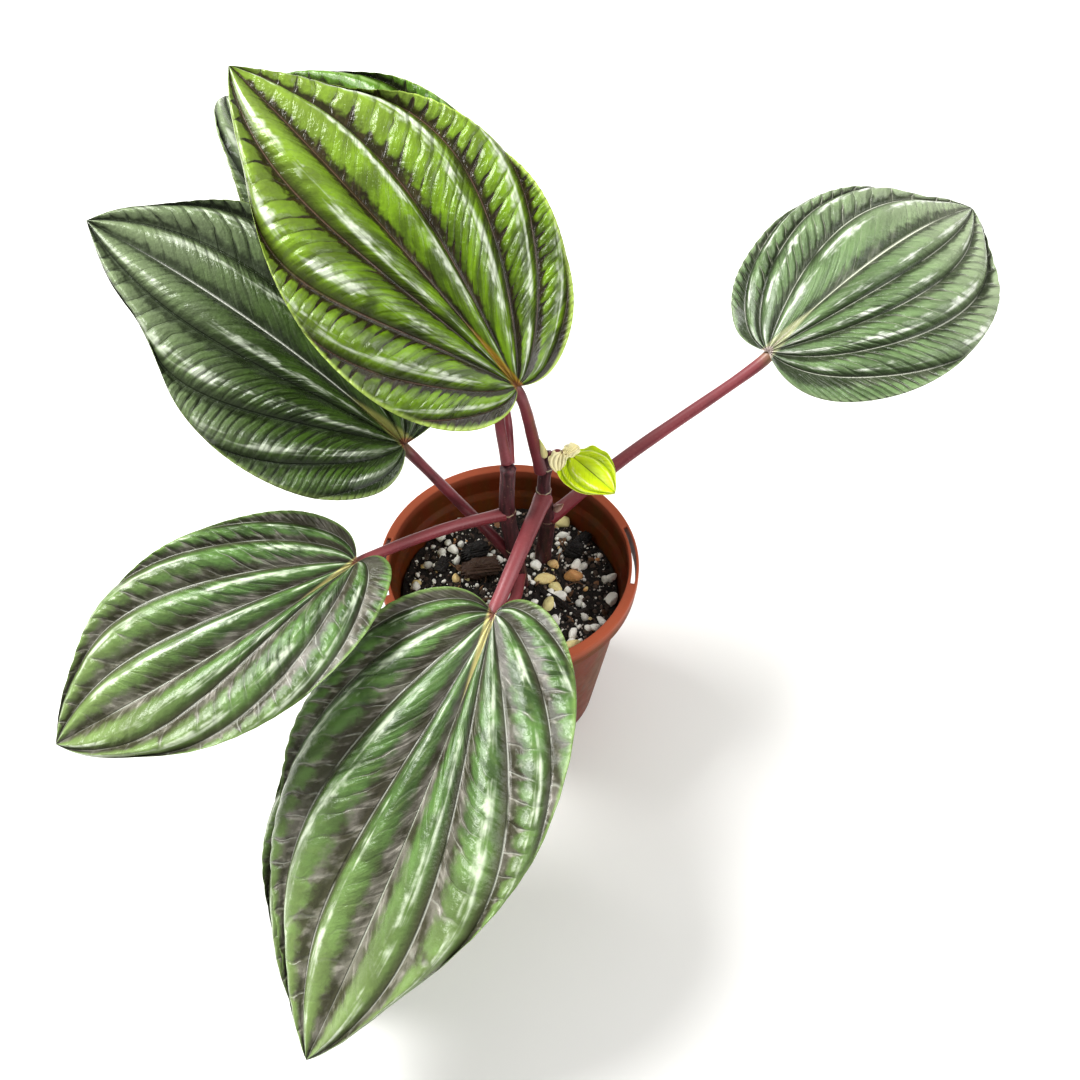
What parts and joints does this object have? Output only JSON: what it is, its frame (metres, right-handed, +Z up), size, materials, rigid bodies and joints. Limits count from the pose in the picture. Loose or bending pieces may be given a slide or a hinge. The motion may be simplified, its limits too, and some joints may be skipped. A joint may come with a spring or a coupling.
{
  "type": "potted peperomia rugosa",
  "caption": "Potted foliage plant with large heart-shaped pleated leaves on slender red stalks, growing from two short canes in a round plastic pot of soil.",
  "frame": {"origin": "centre of the pot's flat base, on the surface it stands on", "axes": "+Z up along the pot's axis; the picture looks down from the -Y side, so +X is to its right; -Z is the outward normal of the pot's base"},
  "size_m": [0.3994, 0.3733, 0.2925],
  "materials": {
    "pot": "satin",
    "soil": "matte",
    "cane": "matte",
    "petiole": "satin",
    "old_leaf": "satin",
    "fresh_leaf": "satin",
    "young_leaf": "satin",
    "sheath": "satin"
  },
  "bodies": {
    "root": {"pot": "pot", "soil": "soil", "cane_left": "cane", "cane_right": "cane", "petiole_top": "petiole", "blade_top": "fresh_leaf", "petiole_back": "petiole", "blade_back": "old_leaf", "petiole_back_left": "petiole", "blade_back_left": "old_leaf", "petiole_left": "petiole", "blade_left": "old_leaf", "petiole_front_left": "petiole", "blade_front_left": "old_leaf", "petiole_front": "petiole", "blade_front": "old_leaf", "petiole_low": "petiole", "blade_low": "old_leaf", "petiole_right": "petiole", "blade_right": "old_leaf", "petiole_young": "petiole", "blade_young": "young_leaf", "bud_side": "sheath", "sheath_top": "sheath"}
  },
  "joints": []
}
